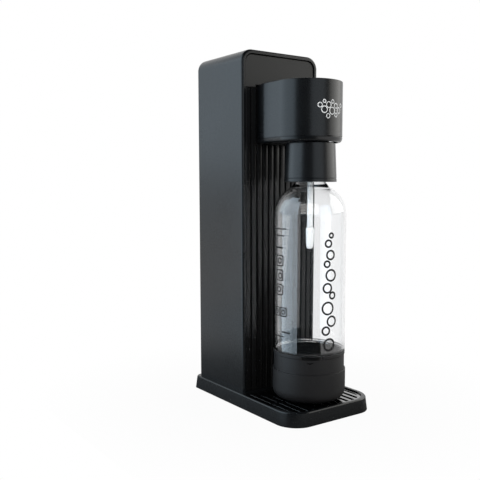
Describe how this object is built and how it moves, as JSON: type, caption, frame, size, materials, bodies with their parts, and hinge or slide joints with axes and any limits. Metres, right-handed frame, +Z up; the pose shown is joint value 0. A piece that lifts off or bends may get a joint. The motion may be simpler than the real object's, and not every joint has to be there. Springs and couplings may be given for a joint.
{
  "type": "sparkling water maker",
  "caption": "Countertop carbonator: slim tower with fluted front, round-nosed head with push button, tilting bottle holder, clear bottle over a drip grate, gas cylinder behind a rear cover.",
  "frame": {"origin": "on the table, under the middle of the base", "axes": "+Z up; -Y is the front, where the bottle hangs; X across the width"},
  "size_m": [0.122, 0.192, 0.4],
  "materials": {
    "shell_black": "matt fine-textured moulding",
    "panel_black": "satin moulding",
    "satin_black": "satin moulding",
    "inner_black": "matt moulding",
    "black_rubber": "matt",
    "white_rubber": "matt",
    "white_plastic": "smooth",
    "clear_plastic": "clear, smooth",
    "steel": "satin",
    "aluminium": "satin",
    "brass": "turned",
    "blue_film": "printed film, plain stripes"
  },
  "bodies": {
    "machine": {"base_plinth": "shell_black", "base_plate": "inner_black", "rubber_feet": "black_rubber", "base_screws": "steel", "drip_tray": "inner_black", "drip_grate": "inner_black", "tower_shell": "shell_black", "upper_front_panel": "panel_black", "fluted_panel": "panel_black", "chassis": "inner_black", "chassis_screws": "steel", "cylinder_cradle": "inner_black", "valve_block": "aluminium", "block_screws": "steel", "valve_seal": "black_rubber", "pusher_seal": "black_rubber", "lever_pin": "steel", "lever_clips": "steel", "head_shell": "shell_black", "head_lower_ring": "shell_black", "head_bottom_plate": "inner_black", "head_screws": "steel", "button_spring": "steel", "button_guide": "inner_black", "hose_fittings": "brass", "gas_hose": "inner_black"},
    "button": {"button_cap": "shell_black", "button_stem": "white_plastic"},
    "lever": {"rocker_lever": "steel"},
    "pusher": {"pusher": "steel"},
    "holder": {"holder_body": "satin_black", "holder_collar": "satin_black", "trunnion_pins": "steel", "lock_ring": "steel", "lock_screws": "steel", "bottle_seal": "white_rubber", "nozzle_tube": "white_plastic", "nozzle_tip": "white_plastic", "relief_body": "brass", "relief_cap": "brass", "relief_spring": "steel", "holder_fitting": "brass"},
    "relief": {"relief_poppet": "steel"},
    "bottle": {"bottle_body": "clear_plastic", "bottle_base_cup": "satin_black"},
    "rear_cover": {"rear_cover": "shell_black"},
    "gas_cylinder": {"gas_vessel": "aluminium", "gas_label_sleeve": "blue_film", "gas_valve": "brass"},
    "valve_pin": {"gas_valve_pin": "steel"}
  },
  "joints": [
    {"name": "button_press", "type": "slide", "parent": "machine", "child": "button", "axis": [0, 0, -1], "range_m": [0, 0.006], "stiffness_N_per_m": 400, "springref_m": -0.004, "deforming": ["button_spring"]},
    {"name": "lever_rock", "type": "hinge", "parent": "machine", "child": "lever", "pos_m": [0, 0.081, 0.382], "axis": [1, 0, 0], "range_deg": [0, 2.75]},
    {"name": "pusher_slide", "type": "slide", "parent": "machine", "child": "pusher", "axis": [0, 0, -1], "range_m": [0, 0.00145]},
    {"name": "valve_pin_slide", "type": "slide", "parent": "gas_cylinder", "child": "valve_pin", "axis": [0, 0, -1], "range_m": [0, 0.00145]},
    {"name": "holder_tilt", "type": "hinge", "parent": "machine", "child": "holder", "pos_m": [0, -0.051, 0.3], "axis": [-1, 0, 0], "range_deg": [0, 15], "deforming": ["gas_hose"]},
    {"name": "bottle_turn", "type": "hinge", "parent": "holder", "child": "bottle", "pos_m": [0, -0.051, 0.28], "axis": [0, 0, 1], "range_deg": [0, 60]},
    {"name": "relief_lift", "type": "slide", "parent": "holder", "child": "relief", "axis": [0, 0, 1], "range_m": [0, 0.0012], "stiffness_N_per_m": 50, "springref_m": -0.002, "deforming": ["relief_spring"]},
    {"name": "cover_pull", "type": "slide", "parent": "machine", "child": "rear_cover", "axis": [0, 1, 0], "range_m": [0, 0.12]},
    {"name": "cylinder_turn", "type": "hinge", "parent": "machine", "child": "gas_cylinder", "pos_m": [0, 0.051, 0.2], "axis": [0, 0, 1], "range_deg": [-1080, 0]}
  ],
  "couplings": [
    {"joint": "lever_rock", "follows": "button_press", "rad_per_m": 7.9681},
    {"joint": "pusher_slide", "follows": "button_press", "ratio": 0.23904},
    {"joint": "valve_pin_slide", "follows": "button_press", "ratio": 0.23904}
  ]
}
